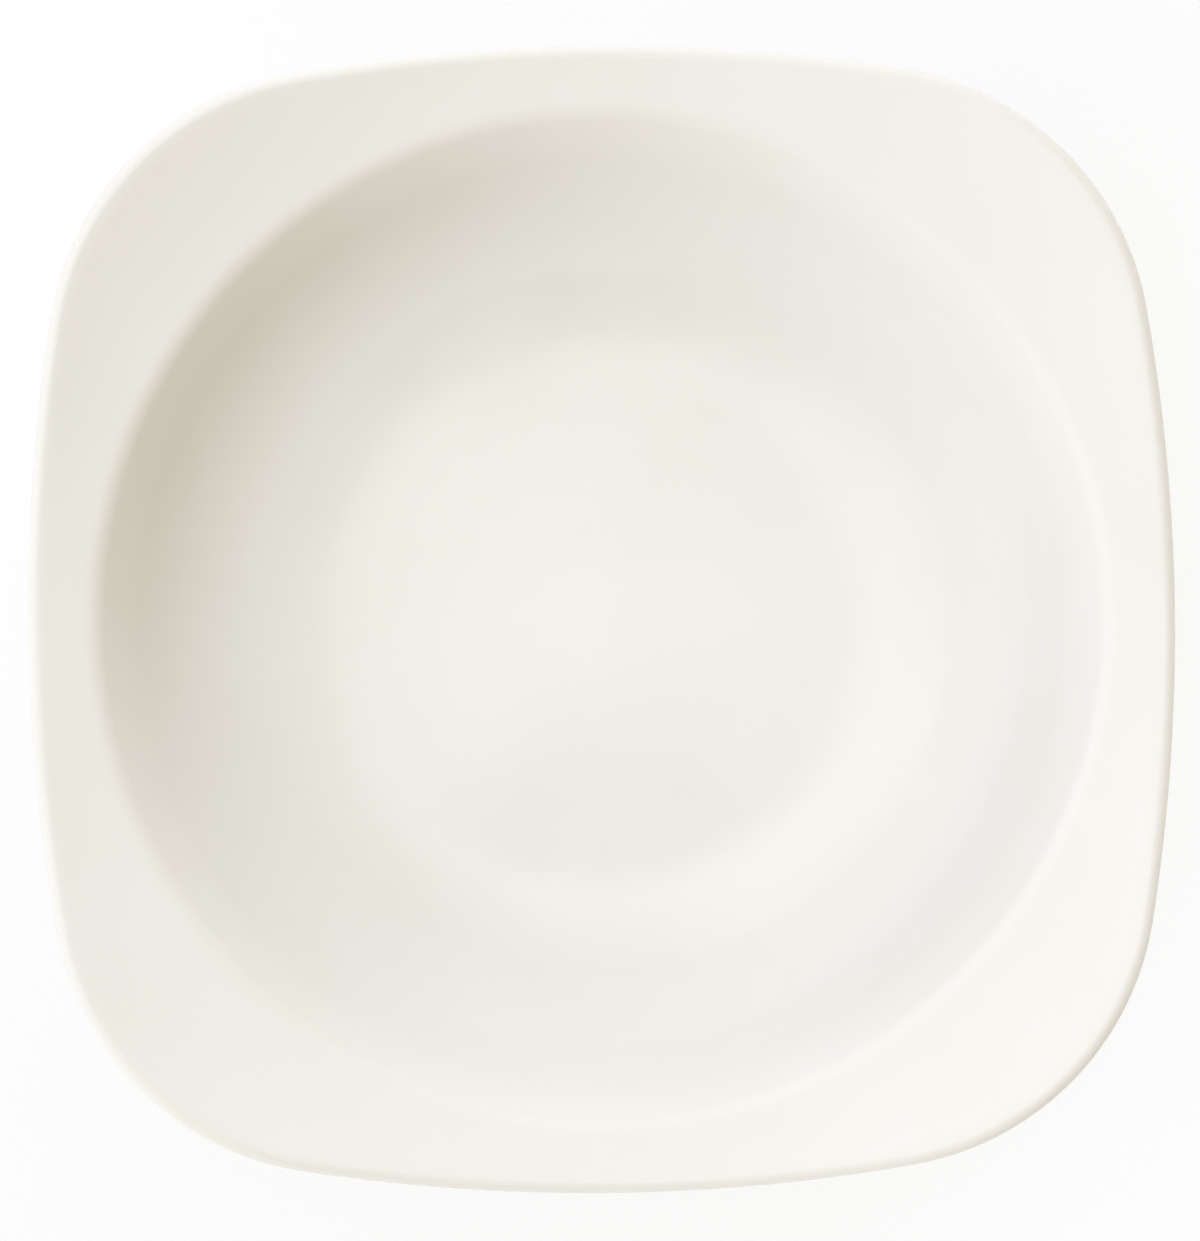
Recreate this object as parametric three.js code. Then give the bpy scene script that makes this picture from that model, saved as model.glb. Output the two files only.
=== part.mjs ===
// Deep square plate: a one-piece ceramic plate with a round well inside a bowed-square rim, coated in glaze
// everywhere but on the standing face of its foot ring.
// Millimetres, +Z up. The origin is the centre of the foot ring's standing face.
//
// The plate is drawn as a section through the middle of one side and turned about Z. Past the well the
// turned shape is then drawn out to the bowed-square outline, so the well stays round and the rim widens in
// the corners.
import * as THREE from "three";

// Driving dimensions of the finished, glazed plate
const WELL_DIAMETER = 202; // across the edge where the well meets the rim
const WELL_DEPTH = 34; // from that edge down to the level middle of the floor
const WALL_ANGLE = 66; // slope of the well's wall, degrees from level
const COVE_RADIUS = 27; // round between floor and wall
const FLOOR_DIAMETER = 112; // across the round where the floor begins to rise
const DISH_ANGLE = 5; // rise of the floor outside its level middle, degrees from level
const DISH_RADIUS = 180; // round where the floor begins to rise
const EDGE_RADIUS = 5.5; // round of the edge between wall and rim
const RIM_WIDTH = 14; // rim at the middle of a side, where it is narrowest
const RIM_ANGLE = 13; // rise of the rim towards its lip, degrees from level
const SIDE_RADIUS = 345; // bow of each side, seen from above
const CORNER_RADIUS = 60; // round of each corner, seen from above
const CORNER_LIFT = 3; // how far the corners sweep up above the rim's even slope
const SHELL_THICKNESS = 4; // floor and wall
const LIP_THICKNESS = 4.2; // rim, ending in a full round
const RIM_ROOT_RADIUS = 9; // hollow under the edge, where the rim springs from the wall
const FOOT_HEIGHT = 5; // standing face to the underside of the floor
const FOOT_WIDTH = 5; // foot ring where it meets the table, before its edges are rounded
const FOOT_DRAFT = 14; // lean of the foot ring's sides, degrees from upright
const FOOT_FILLET = 2.6; // hollow between the foot ring and the underside
const FOOT_EDGE_RADIUS = 0.7; // sponged edges of the bare standing face
const GLAZE_THICKNESS = 0.3;
const BARE_FOOT_HEIGHT = 1.2; // the glaze is wiped off this far up the foot ring

// Fineness of the facets
const SIDE_STEPS = 8; // steps along each side of the outline
const CORNER_STEPS = 8; // steps round each corner of the outline
const CHORD_ERROR = 0.24; // how far a facet may cut inside an arc of the section
const RIM_STEPS = 3; // steps across the rim, which is drawn out in the corners
const LEAST_STEP = 1e-4; // below which two points of the section are one

const radians = THREE.MathUtils.degToRad;
const point = (r, z) => new THREE.Vector2(r, z);
const corner = (at, radius = 0) => ({ at, radius });

const wellRadius = WELL_DIAMETER / 2;
const halfWidth = wellRadius + RIM_WIDTH;
const lipRadius = LIP_THICKNESS / 2;
const floorTop = FOOT_HEIGHT + SHELL_THICKNESS;
const wallAngle = radians(WALL_ANGLE);
const dishAngle = radians(DISH_ANGLE);
const rimAngle = radians(RIM_ANGLE);
const footAngle = Math.PI / 2 - radians(FOOT_DRAFT);
const footLean = Math.tan(radians(FOOT_DRAFT));

// The point where two lines meet, each given by a point on it and its slope angle.
function crossing(a, angleA, b, angleB) {
  const along = new THREE.Vector2(Math.cos(angleA), Math.sin(angleA));
  const across = new THREE.Vector2(-Math.sin(angleB), Math.cos(angleB));
  const reach = b.clone().sub(a).dot(across) / along.dot(across);
  return a.clone().addScaledVector(along, reach);
}

// Points of a section line, with an arc of the given radius at each corner. Two arcs too large for the wall
// between them share it.
function roundedLine(corners) {
  const last = corners.length - 1;
  const toward = (i, j) => corners[j].at.clone().sub(corners[i].at);
  const turnAt = (i) => (i > 0 && i < last ? Math.PI - toward(i, i - 1).angleTo(toward(i, i + 1)) : 0);
  const turns = corners.map((_, i) => turnAt(i));
  const runs = corners.map(({ radius }, i) => radius * Math.tan(turns[i] / 2));
  const fit = (i, j) => Math.min(1, toward(i, j).length() / (runs[i] + runs[j]));
  const points = [corners[0].at];
  for (let i = 1; i < last; i++) {
    const { at, radius } = corners[i];
    if (runs[i] < LEAST_STEP) {
      points.push(at);
      continue;
    }
    const share = Math.min(fit(i, i - 1), fit(i, i + 1));
    const arcRadius = share * radius;
    const back = toward(i, i - 1).normalize();
    const ahead = toward(i, i + 1).normalize();
    const inward = back.clone().add(ahead).normalize();
    const centre = at.clone().addScaledVector(inward, arcRadius / Math.cos(turns[i] / 2));
    const from = at.clone().addScaledVector(back, share * runs[i]).sub(centre).angle();
    const to = at.clone().addScaledVector(ahead, share * runs[i]).sub(centre).angle();
    const clockwise = back.cross(ahead) > 0;
    const arc = new THREE.EllipseCurve(centre.x, centre.y, arcRadius, arcRadius, from, to, clockwise);
    const step = 2 * Math.acos(Math.max(0, 1 - CHORD_ERROR / arcRadius));
    points.push(...arc.getPoints(Math.max(2, Math.ceil(turns[i] / step))));
  }
  points.push(corners[last].at);
  return points.filter((p, i) => i === 0 || p.distanceTo(points[i - 1]) > LEAST_STEP);
}

// Corners with no radius that split the straight line between two points into even steps.
function evenSteps(from, to, steps) {
  return Array.from({ length: steps - 1 }, (_, i) => corner(from.clone().lerp(to, (i + 1) / steps)));
}

// The same line moved into the clay, to the right of its run, by the glaze's thickness.
function underGlaze(points) {
  const sides = points.slice(1).map((p, i) => {
    const run = p.clone().sub(points[i]).normalize();
    return new THREE.Vector2(run.y, -run.x);
  });
  return points.map((p, i) => {
    const before = sides[Math.max(i - 1, 0)];
    const after = sides[Math.min(i, sides.length - 1)];
    const middle = before.clone().add(after).normalize();
    return p.clone().addScaledVector(middle, GLAZE_THICKNESS / middle.dot(after));
  });
}

// Section of the glazed face, from the axis to the glaze line: floor, wall, rim, lip, underside, foot ring.
const wellEdge = point(wellRadius, floorTop + WELL_DEPTH);
const dishStart = point(FLOOR_DIAMETER / 2, floorTop);
const coveCorner = crossing(wellEdge, wallAngle, dishStart, dishAngle);
const rimAlong = point(Math.cos(rimAngle), Math.sin(rimAngle));
const rimUp = point(-Math.sin(rimAngle), Math.cos(rimAngle));
const lipStart = halfWidth - lipRadius - lipRadius * Math.sin(rimAngle);
const lipTop = crossing(wellEdge, rimAngle, point(lipStart, 0), Math.PI / 2);
const lipTopEnd = lipTop.clone().addScaledVector(rimAlong, lipRadius);
const lipUnderEnd = lipTopEnd.clone().addScaledVector(rimUp, -LIP_THICKNESS);
const lipUnder = lipTop.clone().addScaledVector(rimUp, -LIP_THICKNESS);
const throughShell = (slope) => point(Math.sin(slope), -Math.cos(slope)).multiplyScalar(SHELL_THICKNESS);
const wallUnder = wellEdge.clone().add(throughShell(wallAngle));
const dishUnder = dishStart.clone().add(throughShell(dishAngle));
const rimRoot = crossing(lipUnder, rimAngle, wallUnder, wallAngle);
const coveUnder = crossing(wallUnder, wallAngle, dishUnder, dishAngle);

// The foot ring stands under the round where the floor begins to rise.
const footOutside = (z) => point(dishUnder.x + FOOT_WIDTH / 2 + z * footLean, z);
const footInside = (z) => point(dishUnder.x - FOOT_WIDTH / 2 - z * footLean, z);
const footTop = crossing(footOutside(0), footAngle, dishUnder, dishAngle);

const face = roundedLine([
  corner(point(0, floorTop)),
  corner(dishStart, DISH_RADIUS),
  corner(coveCorner, COVE_RADIUS),
  corner(wellEdge, EDGE_RADIUS),
  ...evenSteps(wellEdge, lipTop, RIM_STEPS),
  corner(lipTopEnd, lipRadius),
  corner(lipUnderEnd, lipRadius),
  ...evenSteps(lipUnder, rimRoot, RIM_STEPS).slice(0, 1),
  corner(rimRoot, RIM_ROOT_RADIUS),
  corner(coveUnder, COVE_RADIUS + SHELL_THICKNESS),
  corner(footTop, FOOT_FILLET),
  corner(footOutside(BARE_FOOT_HEIGHT)),
]);

// Section of the glazed base inside the foot ring, from the glaze line to the axis.
const base = roundedLine([
  corner(footInside(BARE_FOOT_HEIGHT)),
  corner(footInside(FOOT_HEIGHT), FOOT_FILLET),
  corner(point(0, FOOT_HEIGHT)),
]);

// The clay under both, joined by the bare standing face of the foot ring.
const faceClay = underGlaze(face);
const baseClay = underGlaze(base);
const bareOutside = faceClay.at(-1);
const bareInside = baseClay[0];
const bareFoot = roundedLine([
  corner(bareOutside),
  corner(point(bareOutside.x - bareOutside.y * footLean, 0), FOOT_EDGE_RADIUS),
  corner(point(bareInside.x + bareInside.y * footLean, 0), FOOT_EDGE_RADIUS),
  corner(bareInside),
]).slice(1, -1);

// Distance from the axis to the bowed-square outline. A side's arc is centred on the line through the middle
// of that side, a corner's arc on the diagonal, and the two arcs touch.
const sideCentre = halfWidth - SIDE_RADIUS;
const arcGap = SIDE_RADIUS - CORNER_RADIUS;
const cornerCentre = (sideCentre + Math.sqrt(2 * arcGap ** 2 - sideCentre ** 2)) / 2;
const touchAngle = Math.atan2(
  (SIDE_RADIUS * cornerCentre) / arcGap,
  sideCentre + (SIDE_RADIUS * (cornerCentre - sideCentre)) / arcGap,
);

function outlineRadius(bearing) {
  const quarter = Math.PI / 2;
  const fromSide = Math.abs(bearing - quarter * Math.round(bearing / quarter));
  if (fromSide < touchAngle) {
    const ahead = sideCentre * Math.cos(fromSide);
    return ahead + Math.sqrt(ahead ** 2 - sideCentre ** 2 + SIDE_RADIUS ** 2);
  }
  const ahead = cornerCentre * (Math.cos(fromSide) + Math.sin(fromSide));
  return ahead + Math.sqrt(ahead ** 2 - 2 * cornerCentre ** 2 + CORNER_RADIUS ** 2);
}

// The bearings at which the section is set, with the steps of each side followed by those of the next corner.
const bearings = [];
for (let side = 0; side < 4; side++) {
  const middle = (side * Math.PI) / 2;
  for (let i = 0; i < SIDE_STEPS; i++) {
    bearings.push(middle + touchAngle * ((2 * i) / SIDE_STEPS - 1));
  }
  for (let i = 0; i < CORNER_STEPS; i++) {
    bearings.push(middle + touchAngle + (Math.PI / 2 - 2 * touchAngle) * (i / CORNER_STEPS));
  }
}

// A point of the section at a bearing, drawn out to the outline: nothing moves inside the well's edge, and
// the lip moves as a whole.
const drawStart = wellRadius + EDGE_RADIUS * Math.tan((wallAngle - rimAngle) / 2) * Math.cos(rimAngle);
const cornerReach = outlineRadius(Math.PI / 4) - halfWidth;

function drawnOut(at, bearing) {
  const share = THREE.MathUtils.clamp((at.x - drawStart) / (lipStart - drawStart), 0, 1);
  const reach = outlineRadius(bearing) - halfWidth;
  const radius = at.x + share * reach;
  const lift = share * reach * Math.tan(rimAngle) + share ** 2 * CORNER_LIFT * (reach / cornerReach);
  return new THREE.Vector3(radius * Math.cos(bearing), radius * Math.sin(bearing), at.y + lift);
}

// Turns a section into a closed surface. The section runs from axis to axis with its solid on the right.
// Each four-sided facet is split from its end nearer the axis, or from its lower end where both are as near,
// so pieces that touch share the same facets.
function turnedGeometry(section) {
  const points = [];
  const rings = section.map((at) => {
    const first = points.length;
    const around = at.x > 0 ? bearings : [0];
    points.push(...around.map((bearing) => drawnOut(at, bearing)));
    return (i) => first + (i % around.length);
  });
  const facets = [];
  for (let j = 0; j < section.length - 1; j++) {
    const run = section[j + 1].clone().sub(section[j]);
    const outward = run.x === 0 ? run.y > 0 : run.x > 0;
    for (let i = 0; i < bearings.length; i++) {
      const [a, b, c, d] = [rings[j](i), rings[j](i + 1), rings[j + 1](i + 1), rings[j + 1](i)];
      const pair = outward ? [[a, c, b], [a, d, c]] : [[a, d, b], [b, d, c]];
      facets.push(...pair.filter((facet) => new Set(facet).size === 3));
    }
  }
  const geometry = new THREE.BufferGeometry().setFromPoints(points);
  geometry.setIndex(facets.flat());
  geometry.computeVertexNormals();
  return geometry;
}

function turnedPiece(name, section, material) {
  const piece = new THREE.Mesh(turnedGeometry(section), material);
  piece.name = name;
  return piece;
}

const clay = new THREE.MeshStandardMaterial({ color: 0xe9e2d4, roughness: 0.9, metalness: 0 });
const glaze = new THREE.MeshStandardMaterial({ color: 0xf2f0e8, roughness: 0.15, metalness: 0 });

const plate = new THREE.Group();
plate.name = "deep_square_plate";
plate.add(
  turnedPiece("ceramic_body", [...faceClay, ...bareFoot, ...baseClay], clay),
  turnedPiece("glaze_coat", [...face, ...faceClay.toReversed()], glaze),
  turnedPiece("base_glaze", [...baseClay.toReversed(), ...base], glaze),
);

export default plate;
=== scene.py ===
import math

import bpy
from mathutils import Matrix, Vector


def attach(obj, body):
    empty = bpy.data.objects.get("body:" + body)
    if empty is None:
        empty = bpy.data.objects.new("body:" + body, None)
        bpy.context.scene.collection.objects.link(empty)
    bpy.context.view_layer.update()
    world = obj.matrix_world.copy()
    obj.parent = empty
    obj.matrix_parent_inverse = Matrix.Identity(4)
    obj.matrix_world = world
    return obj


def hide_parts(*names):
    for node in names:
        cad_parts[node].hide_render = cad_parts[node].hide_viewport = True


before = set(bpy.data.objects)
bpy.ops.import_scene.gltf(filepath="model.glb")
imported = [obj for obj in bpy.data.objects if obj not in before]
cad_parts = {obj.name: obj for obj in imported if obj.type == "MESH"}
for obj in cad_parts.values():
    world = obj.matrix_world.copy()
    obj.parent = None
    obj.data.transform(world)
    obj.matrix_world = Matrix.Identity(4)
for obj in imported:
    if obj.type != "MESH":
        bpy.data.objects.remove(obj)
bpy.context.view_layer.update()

# A deep square plate: a round well inside a bowed-square rim, in cream-white glaze over pale clay. It is
# drawn as a section through the middle of one side, turned about Z, and past the well drawn out to the
# bowed-square outline.

# Sizes of the finished, glazed plate, in millimetres and degrees
WELL_DIAMETER = 202.0
WELL_DEPTH = 34.0
WALL_ANGLE = 66.0
COVE_RADIUS = 27.0
FLOOR_DIAMETER = 112.0
DISH_ANGLE = 5.0
DISH_RADIUS = 180.0
EDGE_RADIUS = 5.5
RIM_WIDTH = 14.0
RIM_ANGLE = 13.0
SIDE_RADIUS = 345.0
CORNER_RADIUS = 60.0
CORNER_LIFT = 3.0
SHELL_THICKNESS = 4.0
LIP_THICKNESS = 4.2
RIM_ROOT_RADIUS = 9.0
FOOT_HEIGHT = 5.0
FOOT_WIDTH = 5.0
FOOT_DRAFT = 14.0
FOOT_FILLET = 2.6
FOOT_EDGE_RADIUS = 0.7
GLAZE_THICKNESS = 0.3
BARE_FOOT_HEIGHT = 1.2
GLAZE_BEAD = 0.6
GLAZE_THIN_RADIUS = 2.0

# Fineness of the surface: counts of steps, then millimetres and degrees
SIDE_STEPS = 24
CORNER_STEPS = 24
RIM_STEPS = 10
UNDER_RIM_STEPS = 3
BEAD_STEPS = 6
CHORD_ERROR = 0.012
LEAST_STEP = 1e-5
SHARP_ANGLE = 50.0

MM = 0.001

# Camera: straight down, with the plate turned a little in the frame
IMAGE_WIDTH = 1200
IMAGE_HEIGHT = 1241
PLATE_WIDTH_IN_IMAGE = 1149.0
PLATE_CENTRE_IN_IMAGE = (601.7, 619.7)
PLATE_TURN_IN_IMAGE = 0.59
CAMERA_HEIGHT = 1.1

# Glaze: linear colours, noises as features per metre and detail, heights in metres
GLAZE_COLOUR = (0.832, 0.816, 0.766)
GLAZE_POOL_COLOUR = (0.81, 0.79, 0.726)
GLAZE_IOR = 1.5
GLAZE_ROUGHNESS = (0.10, 0.16)
GLOSS_NOISE = (45.0, 2.0)
CLOUD_NOISE = (28.0, 3.0)
CLOUD_SHARE = 0.55
THIN_SHARE = 0.18
WAVE_NOISE = (22.0, 1.0)
WAVE_HEIGHT = 0.0003
PEEL_NOISE = (420.0, 1.0)
PEEL_HEIGHT = 0.000006

# Bare clay, in the same units
CLAY_COLOUR = (0.80, 0.75, 0.65)
CLAY_WORN_COLOUR = (0.62, 0.58, 0.51)
CLAY_ROUGHNESS = 0.88
RUB_NOISE = (160.0, 5.0)
RUB_RANGE = (0.45, 0.7)
RUB_SHARE = 0.6
GRAIN_NOISE = (2600.0, 3.0)
GRAIN_SHARE = 0.25
PIT_NOISE = (1800.0, 4.0)
PIT_HEIGHT = 0.00008

# The range that most of a noise's values fill
NOISE_RANGE = (0.3, 0.7)

# Light: a white sky with a dim, warm side, in linear colours and degrees
SKY_COLOUR = (1.03, 1.065, 1.205)
DIM_AZIMUTH = 330.0
DIM_ELEVATION = 12.0

# Parts of the sky with a colour of their own: turn from the dim side, colour, and widths of the fade
SKY_PARTS = (
    (-80.0, (2.0, 2.06, 2.34), (20.0, 50.0)),
    (80.0, (2.0, 2.06, 2.34), (20.0, 50.0)),
    (180.0, (1.19, 1.16, 1.12), (20.0, 60.0)),
    (0.0, (1.22, 1.1, 0.15), (47.0, 70.0)),
    (0.0, (0.1, 0.02, 0.0), (43.0, 54.0)),
)

# A card and the camera's body overhead, which the gloss of the well mirrors, in metres and degrees
CARD_AZIMUTH = 150.0
CARD_ELEVATION = 87.4
CARD_DISTANCE = 2.0
CARD_SIZES = (0.14, 0.22, 0.30)
CARD_RADIANCE = 0.9
CAMERA_BODY_OFFSET = (0.02, -0.08)
CAMERA_BODY_HEIGHT = 1.25
CAMERA_BODY_RADIUS = 0.055
CAMERA_BODY_STEPS = 48
CAMERA_BODY_COLOUR = (0.02, 0.02, 0.02)

# Table, a hair under the plate, in metres
FLOOR_COLOUR = (0.9, 0.9, 0.9)
FLOOR_SHADOW_SHARE = 0.18
FLOOR_REACH = 6.0
FLOOR_GAP = 0.0001

well_radius = WELL_DIAMETER / 2
half_width = well_radius + RIM_WIDTH
lip_radius = LIP_THICKNESS / 2
floor_top = FOOT_HEIGHT + SHELL_THICKNESS
wall_angle = math.radians(WALL_ANGLE)
dish_angle = math.radians(DISH_ANGLE)
rim_angle = math.radians(RIM_ANGLE)
foot_draft = math.radians(FOOT_DRAFT)


def point(r, z):
    return Vector((r, z))


def crossing(a, angle_a, b, angle_b):
    """The point where two lines meet, each given by a point on it and its slope angle."""
    along = point(math.cos(angle_a), math.sin(angle_a))
    across = point(-math.sin(angle_b), math.cos(angle_b))
    return a + along * ((b - a).dot(across) / along.dot(across))


def arc_at(corner, radius, before, after):
    """Points of the arc that rounds a corner between two neighbours."""
    if radius == 0:
        return [corner]
    back = (before - corner).normalized()
    ahead = (after - corner).normalized()
    turn = math.pi - back.angle(ahead)
    centre = corner + (back + ahead).normalized() * (radius / math.cos(turn / 2))
    start = corner + back * (radius * math.tan(turn / 2)) - centre
    across = point(-start.y, start.x)
    sweep = math.copysign(turn, -back.cross(ahead))
    steps = max(2, math.ceil(turn / (2 * math.acos(1 - CHORD_ERROR / radius))))
    angles = [sweep * i / steps for i in range(steps + 1)]
    return [centre + start * math.cos(angle) + across * math.sin(angle) for angle in angles]


def rounded_line(corners):
    """Points of a section line given as (corner, radius) pairs."""
    points = [corners[0][0]]
    for i in range(1, len(corners) - 1):
        corner, radius = corners[i]
        for at in arc_at(corner, radius, corners[i - 1][0], corners[i + 1][0]):
            if (at - points[-1]).length > LEAST_STEP:
                points.append(at)
    points.append(corners[-1][0])
    return points


def even_steps(start, end, steps):
    """Corners with no radius that split a straight line into even steps."""
    return [(start.lerp(end, i / steps), 0) for i in range(1, steps)]


def under_glaze(points):
    """The same line moved into the clay, to the right of its run, by the glaze's thickness."""
    sides = []
    for here, there in zip(points, points[1:]):
        run = (there - here).normalized()
        sides.append(point(run.y, -run.x))
    moved = []
    for i, at in enumerate(points):
        before = sides[max(i - 1, 0)]
        after = sides[min(i, len(sides) - 1)]
        middle = (before + after).normalized()
        moved.append(at + middle * (GLAZE_THICKNESS / middle.dot(after)))
    return moved


def beaded(points, clay, end):
    """The glaze's line rounded down to the clay over the last stretch before its end."""
    rounded = []
    for at, under in zip(points, clay):
        share = max(0.0, 1 - (at - end).length / GLAZE_BEAD)
        rounded.append(under.lerp(at, math.sqrt(1 - share**2)))
    return rounded


def thinness(points):
    """How far the glaze has drawn back along a line: 1 on a tight convex round, 0 on flats and hollows."""
    bends = [0.0] * len(points)
    for i in range(1, len(points) - 1):
        back = points[i] - points[i - 1]
        ahead = points[i + 1] - points[i]
        right_turn = math.atan2(back.y * ahead.x - back.x * ahead.y, back.dot(ahead))
        bend = 2 * right_turn / (back.length + ahead.length)
        bends[i] = min(1.0, max(0.0, GLAZE_THIN_RADIUS * bend))
    return bends


# Section of the glazed face, from the axis to the glaze line on the foot ring
well_edge = point(well_radius, floor_top + WELL_DEPTH)
dish_start = point(FLOOR_DIAMETER / 2, floor_top)
cove_corner = crossing(well_edge, wall_angle, dish_start, dish_angle)
rim_along = point(math.cos(rim_angle), math.sin(rim_angle))
rim_up = point(-math.sin(rim_angle), math.cos(rim_angle))
rim_start = well_edge + rim_along * (EDGE_RADIUS * math.tan((wall_angle - rim_angle) / 2))
lip_start = half_width - lip_radius * (1 + math.sin(rim_angle))
lip_top = crossing(well_edge, rim_angle, point(lip_start, 0), math.pi / 2)
lip_under = lip_top - rim_up * LIP_THICKNESS
wall_under = well_edge + point(math.sin(wall_angle), -math.cos(wall_angle)) * SHELL_THICKNESS
rim_root = crossing(lip_under, rim_angle, wall_under, wall_angle)
dish_under = dish_start + point(math.sin(dish_angle), -math.cos(dish_angle)) * SHELL_THICKNESS
cove_under = crossing(wall_under, wall_angle, dish_under, dish_angle)


def foot_outside(z):
    """The foot ring's outer side at a height. The ring stands where the floor begins to rise."""
    return point(dish_under.x + FOOT_WIDTH / 2 + z * math.tan(foot_draft), z)


def foot_inside(z):
    """The foot ring's inner side at a height."""
    return point(dish_under.x - FOOT_WIDTH / 2 - z * math.tan(foot_draft), z)


foot_top = crossing(foot_outside(0), math.pi / 2 - foot_draft, dish_under, dish_angle)

bead_heights = [BARE_FOOT_HEIGHT + GLAZE_BEAD * i / BEAD_STEPS for i in range(BEAD_STEPS, 0, -1)]
face = rounded_line([
    (point(0, floor_top), 0),
    (dish_start, DISH_RADIUS),
    (cove_corner, COVE_RADIUS),
    (well_edge, EDGE_RADIUS),
    *even_steps(rim_start, lip_top, RIM_STEPS),
    (lip_top + rim_along * lip_radius, lip_radius),
    (lip_under + rim_along * lip_radius, lip_radius),
    *even_steps(lip_under, rim_root, RIM_STEPS)[:UNDER_RIM_STEPS],
    (rim_root, RIM_ROOT_RADIUS),
    (cove_under, COVE_RADIUS + SHELL_THICKNESS),
    (foot_top, FOOT_FILLET),
    *[(foot_outside(z), 0) for z in bead_heights],
    (foot_outside(BARE_FOOT_HEIGHT), 0),
])
face_clay = under_glaze(face)
face_glaze = beaded(face, face_clay, face[-1])

# Section of the glazed base inside the foot ring, from the glaze line to the axis
base = rounded_line([
    (foot_inside(BARE_FOOT_HEIGHT), 0),
    *[(foot_inside(z), 0) for z in reversed(bead_heights)],
    (foot_inside(FOOT_HEIGHT), FOOT_FILLET),
    (point(0, FOOT_HEIGHT), 0),
])
base_clay = under_glaze(base)
base_glaze = beaded(base, base_clay, base[0])

# Section of the bare standing face, which joins the clay under both
bare_foot = rounded_line([
    (face_clay[-1], 0),
    (point(face_clay[-1].x - face_clay[-1].y * math.tan(foot_draft), 0), FOOT_EDGE_RADIUS),
    (point(base_clay[0].x + base_clay[0].y * math.tan(foot_draft), 0), FOOT_EDGE_RADIUS),
    (base_clay[0], 0),
])[1:-1]

# Outline from above: a side's arc is centred on the line through its middle, a corner's on the diagonal
side_centre = half_width - SIDE_RADIUS
arc_gap = SIDE_RADIUS - CORNER_RADIUS
corner_centre = (side_centre + math.sqrt(2 * arc_gap**2 - side_centre**2)) / 2
touch_angle = math.atan2(
    SIDE_RADIUS * corner_centre / arc_gap,
    side_centre + SIDE_RADIUS * (corner_centre - side_centre) / arc_gap,
)


def outline_radius(bearing):
    """Distance from the axis to the outline."""
    quarter = math.pi / 2
    from_side = abs(bearing - quarter * round(bearing / quarter))
    if from_side < touch_angle:
        ahead = side_centre * math.cos(from_side)
        return ahead + math.sqrt(ahead**2 - side_centre**2 + SIDE_RADIUS**2)
    ahead = corner_centre * (math.cos(from_side) + math.sin(from_side))
    return ahead + math.sqrt(ahead**2 - 2 * corner_centre**2 + CORNER_RADIUS**2)


corner_sweep = math.pi / 2 - 2 * touch_angle
bearings = []
for side in range(4):
    middle = side * math.pi / 2
    bearings += [middle + touch_angle * (2 * i / SIDE_STEPS - 1) for i in range(SIDE_STEPS)]
    bearings += [middle + touch_angle + corner_sweep * i / CORNER_STEPS for i in range(CORNER_STEPS)]

corner_reach = outline_radius(math.pi / 4) - half_width


def drawn_out(at, bearing):
    """A point of the section at a bearing, in metres, with the rim drawn out to the outline."""
    share = min(1.0, max(0.0, (at.x - rim_start.x) / (lip_start - rim_start.x)))
    reach = outline_radius(bearing) - half_width
    radius = at.x + share * reach
    lift = share * reach * math.tan(rim_angle) + share**2 * CORNER_LIFT * reach / corner_reach
    return Vector((radius * math.cos(bearing), radius * math.sin(bearing), at.y + lift)) * MM


def turned_piece(name, section, thin, material, node):
    """A closed piece from its section, which runs from axis to axis with its solid on the right."""
    vertices = []
    drawn_back = []
    rings = []
    for at, value in zip(section, thin):
        around = bearings if at.x > 0 else [0.0]
        rings.append([len(vertices) + i for i in range(len(around))])
        vertices += [drawn_out(at, bearing) for bearing in around]
        drawn_back += [value] * len(around)
    faces = []
    for near, far in zip(rings, rings[1:]):
        for i in range(len(bearings)):
            near_side = [near[(i + step) % len(near)] for step in (1, 0)]
            far_side = [far[(i + step) % len(far)] for step in (0, 1)]
            faces.append(list(dict.fromkeys(near_side + far_side)))
    mesh = bpy.data.meshes.new(name)
    mesh.from_pydata(vertices, [], faces)
    mesh.shade_smooth()
    mesh.set_sharp_from_angle(angle=math.radians(SHARP_ANGLE))
    mesh.attributes.new("drawn_back", "FLOAT", "POINT").data.foreach_set("value", drawn_back)
    mesh.materials.append(material)
    piece = bpy.data.objects.new(name, mesh)
    bpy.context.scene.collection.objects.link(piece)
    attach(piece, "root")
    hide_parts(node)


def new_node(tree, kind, **settings):
    """A shader node with the given properties set."""
    node = tree.nodes.new(kind)
    for name, value in settings.items():
        setattr(node, name, value)
    return node


def noise(tree, scale, detail):
    """A noise over the object's own coordinates, in features per metre."""
    coordinates = new_node(tree, "ShaderNodeTexCoord")
    texture = new_node(tree, "ShaderNodeTexNoise")
    texture.inputs["Scale"].default_value = scale
    texture.inputs["Detail"].default_value = detail
    tree.links.new(coordinates.outputs["Object"], texture.inputs["Vector"])
    return texture.outputs["Fac"]


def ranged(tree, value, to_range, from_range=NOISE_RANGE):
    """A value carried from one range to another."""
    node = new_node(tree, "ShaderNodeMapRange")
    node.inputs["From Min"].default_value = from_range[0]
    node.inputs["From Max"].default_value = from_range[1]
    node.inputs["To Min"].default_value = to_range[0]
    node.inputs["To Max"].default_value = to_range[1]
    tree.links.new(value, node.inputs["Value"])
    return node.outputs["Result"]


def mixed(tree, share, first, second):
    """A mix of two colours, each a plain colour or a socket."""
    node = new_node(tree, "ShaderNodeMix", data_type="RGBA")
    tree.links.new(share, node.inputs["Factor"])
    for socket, colour in ((node.inputs["A"], first), (node.inputs["B"], second)):
        if isinstance(colour, tuple):
            socket.default_value = (*colour, 1.0)
        else:
            tree.links.new(colour, socket)
    return node.outputs["Result"]


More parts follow.
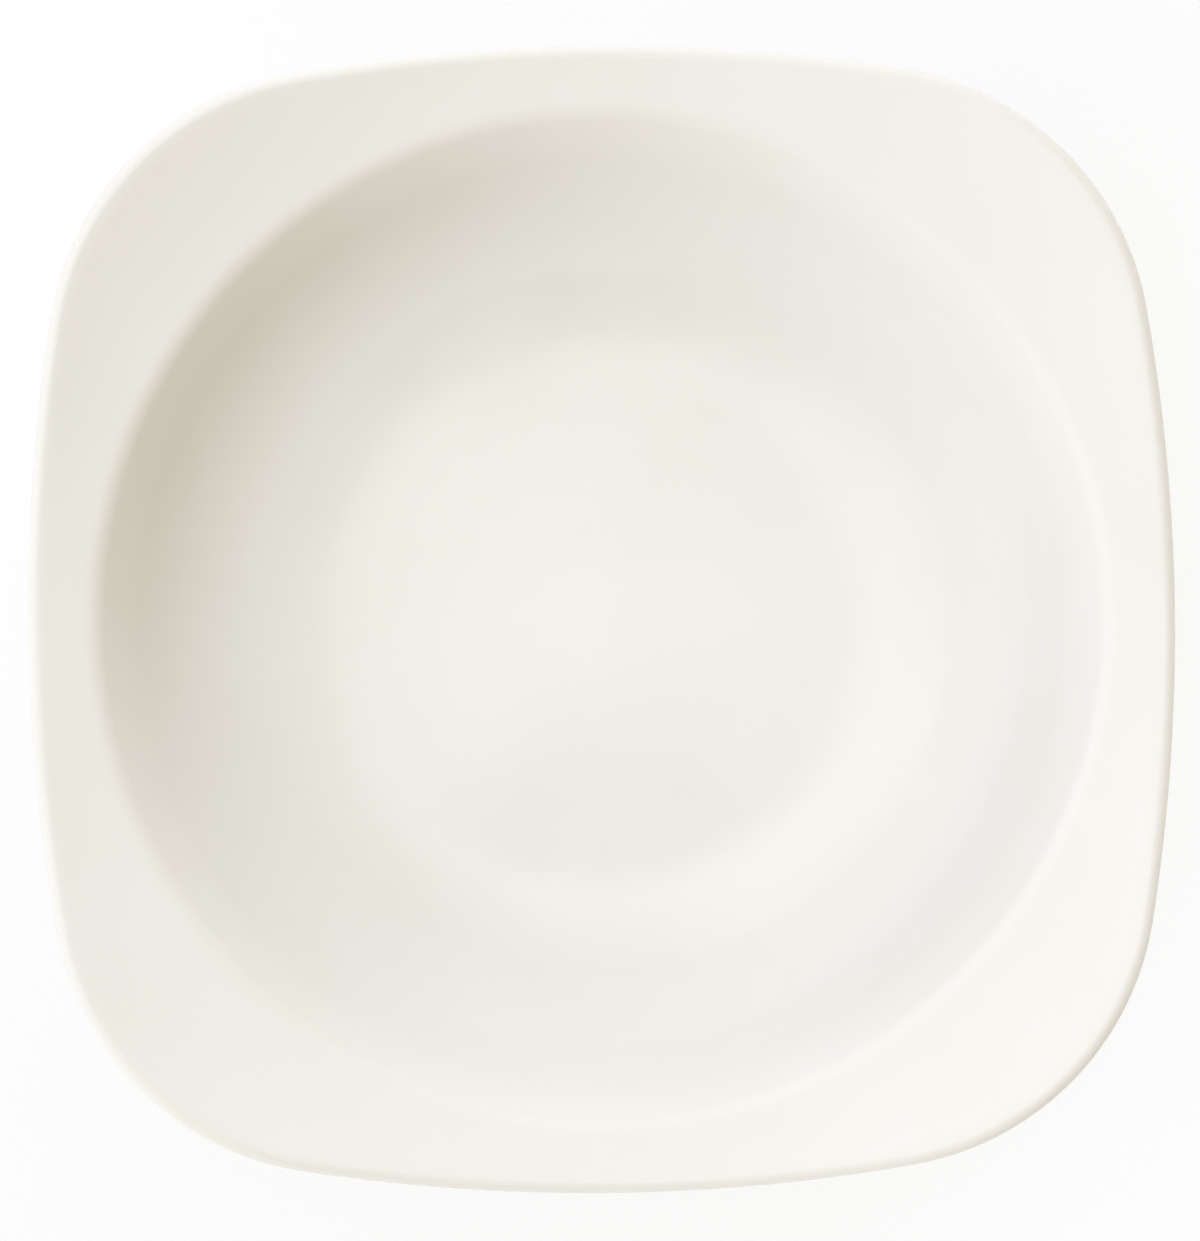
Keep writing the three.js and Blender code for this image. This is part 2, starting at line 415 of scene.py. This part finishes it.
def bumped(tree, height, distance, under=None):
    """A bump of the given height in metres, on top of another where one is given."""
    node = new_node(tree, "ShaderNodeBump")
    node.inputs["Distance"].default_value = distance
    tree.links.new(height, node.inputs["Height"])
    if under is not None:
        tree.links.new(under, node.inputs["Normal"])
    return node.outputs["Normal"]


def new_material(name):
    """A material with its node tree and its shader node."""
    material = bpy.data.materials.new(name)
    material.use_nodes = True
    return material, material.node_tree, material.node_tree.nodes["Principled BSDF"]


def glaze_material():
    """Glossy cream glaze: soft cloudy tone, thinner on the rounds, with the slow waves of a poured coat."""
    material, tree, shader = new_material("cream_glaze")
    cloud = ranged(tree, noise(tree, *CLOUD_NOISE), (0.0, CLOUD_SHARE))
    pooled = mixed(tree, cloud, GLAZE_COLOUR, GLAZE_POOL_COLOUR)
    attribute = new_node(tree, "ShaderNodeAttribute", attribute_name="drawn_back")
    thin = ranged(tree, attribute.outputs["Fac"], (0.0, THIN_SHARE), (0.0, 1.0))
    tree.links.new(mixed(tree, thin, pooled, CLAY_COLOUR), shader.inputs["Base Color"])
    tree.links.new(ranged(tree, noise(tree, *GLOSS_NOISE), GLAZE_ROUGHNESS), shader.inputs["Roughness"])
    shader.inputs["IOR"].default_value = GLAZE_IOR
    waves = bumped(tree, noise(tree, *WAVE_NOISE), WAVE_HEIGHT)
    peel = bumped(tree, noise(tree, *PEEL_NOISE), PEEL_HEIGHT, waves)
    tree.links.new(peel, shader.inputs["Normal"])
    return material


def clay_material():
    """Bare fired clay: matte, with a fine grain, and greyed where it rubs on the table."""
    material, tree, shader = new_material("bare_clay")
    rubbed = ranged(tree, noise(tree, *RUB_NOISE), (0.0, RUB_SHARE), RUB_RANGE)
    grain = ranged(tree, noise(tree, *GRAIN_NOISE), (0.0, GRAIN_SHARE))
    worn = mixed(tree, rubbed, CLAY_COLOUR, CLAY_WORN_COLOUR)
    tree.links.new(mixed(tree, grain, worn, CLAY_WORN_COLOUR), shader.inputs["Base Color"])
    shader.inputs["Roughness"].default_value = CLAY_ROUGHNESS
    tree.links.new(bumped(tree, noise(tree, *PIT_NOISE), PIT_HEIGHT), shader.inputs["Normal"])
    return material


def seen_directly(tree):
    """1 where the camera sees a surface, directly, in a reflection or through glass."""
    path = new_node(tree, "ShaderNodeLightPath")
    first = new_node(tree, "ShaderNodeMath", operation="MAXIMUM")
    second = new_node(tree, "ShaderNodeMath", operation="MAXIMUM")
    tree.links.new(path.outputs["Is Camera Ray"], first.inputs[0])
    tree.links.new(path.outputs["Is Glossy Ray"], first.inputs[1])
    tree.links.new(first.outputs["Value"], second.inputs[0])
    tree.links.new(path.outputs["Is Transmission Ray"], second.inputs[1])
    return second.outputs["Value"]


def floor_material():
    """A table that shows white to the camera, keeps a faint shadow and is clear when seen from below."""
    material, tree, _ = new_material("white_table")
    tree.nodes.clear()
    matte = new_node(tree, "ShaderNodeBsdfDiffuse")
    matte.inputs["Color"].default_value = (*FLOOR_COLOUR, 1.0)
    white = new_node(tree, "ShaderNodeEmission")
    clear = new_node(tree, "ShaderNodeBsdfTransparent")
    geometry = new_node(tree, "ShaderNodeNewGeometry")
    top = new_node(tree, "ShaderNodeMixShader")
    both = new_node(tree, "ShaderNodeMixShader")
    output = new_node(tree, "ShaderNodeOutputMaterial")
    share = ranged(tree, seen_directly(tree), (0.0, 1 - FLOOR_SHADOW_SHARE), (0.0, 1.0))
    tree.links.new(share, top.inputs["Fac"])
    tree.links.new(matte.outputs["BSDF"], top.inputs[1])
    tree.links.new(white.outputs["Emission"], top.inputs[2])
    tree.links.new(geometry.outputs["Backfacing"], both.inputs["Fac"])
    tree.links.new(top.outputs["Shader"], both.inputs[1])
    tree.links.new(clear.outputs["BSDF"], both.inputs[2])
    tree.links.new(both.outputs["Shader"], output.inputs["Surface"])
    return material


def make_floor():
    """A wide table top under the plate."""
    mesh = bpy.data.meshes.new("table_top")
    ways = [(-1, -1), (1, -1), (1, 1), (-1, 1)]
    corners = [(x * FLOOR_REACH, y * FLOOR_REACH, 0) for x, y in ways]
    mesh.from_pydata(corners, [], [(0, 1, 2, 3)])
    mesh.materials.append(floor_material())
    floor = bpy.data.objects.new("table_top", mesh)
    floor.location.z = -FLOOR_GAP
    bpy.context.scene.collection.objects.link(floor)


def sky_direction(azimuth, elevation):
    """A unit vector towards a place in the sky, given in degrees."""
    around = math.radians(azimuth)
    up = math.radians(elevation)
    return Vector((math.cos(up) * math.cos(around), math.cos(up) * math.sin(around), math.sin(up)))


def sky_part(tree, azimuth, widths):
    """1 in one part of the sky and 0 away from it, with a fade between two widths in degrees."""
    core, edge = (math.cos(math.radians(width)) for width in widths)
    coordinates = new_node(tree, "ShaderNodeTexCoord")
    nearness = new_node(tree, "ShaderNodeVectorMath", operation="DOT_PRODUCT")
    nearness.inputs[1].default_value = sky_direction(azimuth, DIM_ELEVATION)
    tree.links.new(coordinates.outputs["Generated"], nearness.inputs[0])
    return ranged(tree, nearness.outputs["Value"], (0.0, 1.0), (edge, core))


def make_world():
    """Light from all round, dimmer and warmer on one side, behind a background that shows white."""
    world = bpy.data.worlds.new("sky")
    bpy.context.scene.world = world
    world.use_nodes = True
    tree = world.node_tree
    tree.nodes.clear()
    fill = new_node(tree, "ShaderNodeBackground")
    colour = SKY_COLOUR
    for turn, part_colour, widths in SKY_PARTS:
        colour = mixed(tree, sky_part(tree, DIM_AZIMUTH + turn, widths), colour, part_colour)
    tree.links.new(colour, fill.inputs["Color"])
    white = new_node(tree, "ShaderNodeBackground")
    white.inputs["Color"].default_value = (1.0, 1.0, 1.0, 1.0)
    mix = new_node(tree, "ShaderNodeMixShader")
    output = new_node(tree, "ShaderNodeOutputWorld")
    tree.links.new(seen_directly(tree), mix.inputs["Fac"])
    tree.links.new(fill.outputs["Background"], mix.inputs[1])
    tree.links.new(white.outputs["Background"], mix.inputs[2])
    tree.links.new(mix.outputs["Shader"], output.inputs["Surface"])


def make_card():
    """A round card that fades towards its edge: nested lamps, each mirrored as white at radiance 1."""
    towards = sky_direction(CARD_AZIMUTH, CARD_ELEVATION)
    for size in CARD_SIZES:
        light = bpy.data.lights.new("card", "AREA")
        light.shape = "DISK"
        light.size = size
        light.energy = CARD_RADIANCE * math.pi**2 / 4 * size**2
        lamp = bpy.data.objects.new("card", light)
        lamp.location = towards * CARD_DISTANCE
        lamp.rotation_euler = towards.to_track_quat("Z", "Y").to_euler()
        bpy.context.scene.collection.objects.link(lamp)


def make_camera_body():
    """A dark disc behind the lens, seen only in reflections."""
    angles = [2 * math.pi * i / CAMERA_BODY_STEPS for i in range(CAMERA_BODY_STEPS)]
    ring = [Vector((math.cos(angle), math.sin(angle), 0)) * CAMERA_BODY_RADIUS for angle in angles]
    material, _, shader = new_material("camera_black")
    shader.inputs["Base Color"].default_value = (*CAMERA_BODY_COLOUR, 1.0)
    mesh = bpy.data.meshes.new("camera_body")
    mesh.from_pydata(ring, [], [list(range(CAMERA_BODY_STEPS))])
    mesh.materials.append(material)
    body = bpy.data.objects.new("camera_body", mesh)
    body.location = (*CAMERA_BODY_OFFSET, CAMERA_BODY_HEIGHT)
    body.visible_camera = False
    bpy.context.scene.collection.objects.link(body)


def make_camera():
    """A camera straight above. Its sensor's width lies along the image's longer side, the height."""
    data = bpy.data.cameras.new("camera")
    metres_per_pixel = 2 * half_width * MM / PLATE_WIDTH_IN_IMAGE
    data.lens = data.sensor_width * CAMERA_HEIGHT / (IMAGE_HEIGHT * metres_per_pixel)
    camera = bpy.data.objects.new("camera", data)
    camera.location = (
        (IMAGE_WIDTH / 2 - PLATE_CENTRE_IN_IMAGE[0]) * metres_per_pixel,
        (PLATE_CENTRE_IN_IMAGE[1] - IMAGE_HEIGHT / 2) * metres_per_pixel,
        lip_top.y * MM + CAMERA_HEIGHT,
    )
    camera.rotation_euler = (0, 0, -math.radians(PLATE_TURN_IN_IMAGE))
    bpy.context.scene.collection.objects.link(camera)
    bpy.context.scene.camera = camera


glaze = glaze_material()
clay = clay_material()
turned_piece(
    "glaze_over_plate",
    face_glaze[:-1] + face_clay[::-1],
    thinness(face)[:-1] + [0.0] * len(face_clay),
    glaze, "glaze_coat",
)
turned_piece(
    "glaze_under_base",
    base_clay[::-1] + base_glaze[1:],
    [0.0] * len(base_clay) + thinness(base)[1:],
    glaze, "base_glaze",
)
clay_section = face_clay + bare_foot + base_clay
turned_piece("fired_clay", clay_section, [0.0] * len(clay_section), clay, "ceramic_body")

make_floor()
make_world()
make_card()
make_camera_body()
make_camera()
bpy.context.scene.view_settings.view_transform = "Standard"
